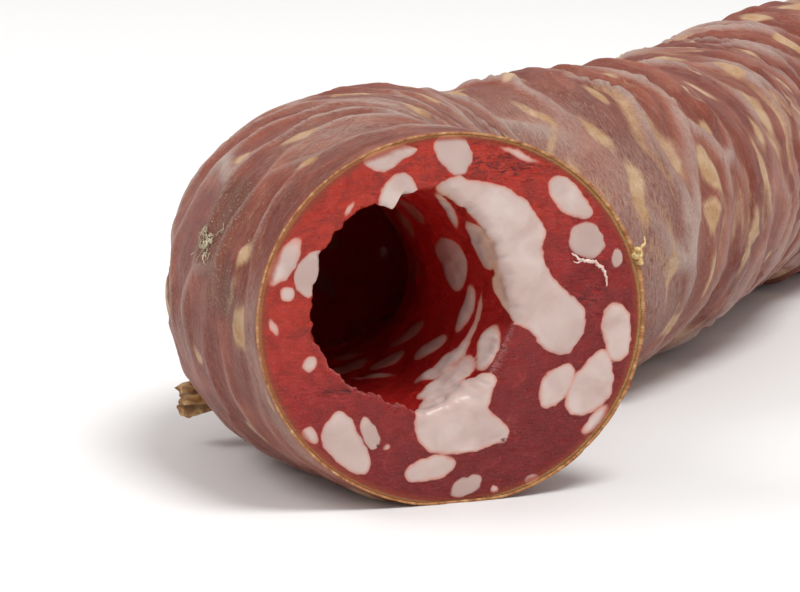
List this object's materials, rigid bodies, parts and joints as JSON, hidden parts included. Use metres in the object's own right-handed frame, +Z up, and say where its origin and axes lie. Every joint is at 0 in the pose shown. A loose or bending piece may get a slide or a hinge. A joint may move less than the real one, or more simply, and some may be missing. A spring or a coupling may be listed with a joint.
{
  "type": "cured sausage",
  "caption": "Curved dry-cured sausage lying on its side, cut across and hollowed at one end, its other end gathered and tied with twine.",
  "frame": {"origin": "on the surface the sausage lies on, under the middle of its bounding box", "axes": "+Z up, +Y from the cut end towards the tied end, +X to the right of someone facing the cut end"},
  "size_m": [0.1586, 0.275, 0.0494],
  "materials": {
    "casing": "semi-gloss dried casing, mauve-brown with tan spots where fat lies under it",
    "filling": "moist red lean meat with pinkish white fat",
    "dried_casing": "brittle golden-brown dried casing",
    "twine": "natural cotton twine"
  },
  "bodies": {
    "root": {"casing": "casing", "filling": "filling", "casing_tag": "dried_casing", "end_twine": "twine"}
  },
  "joints": []
}
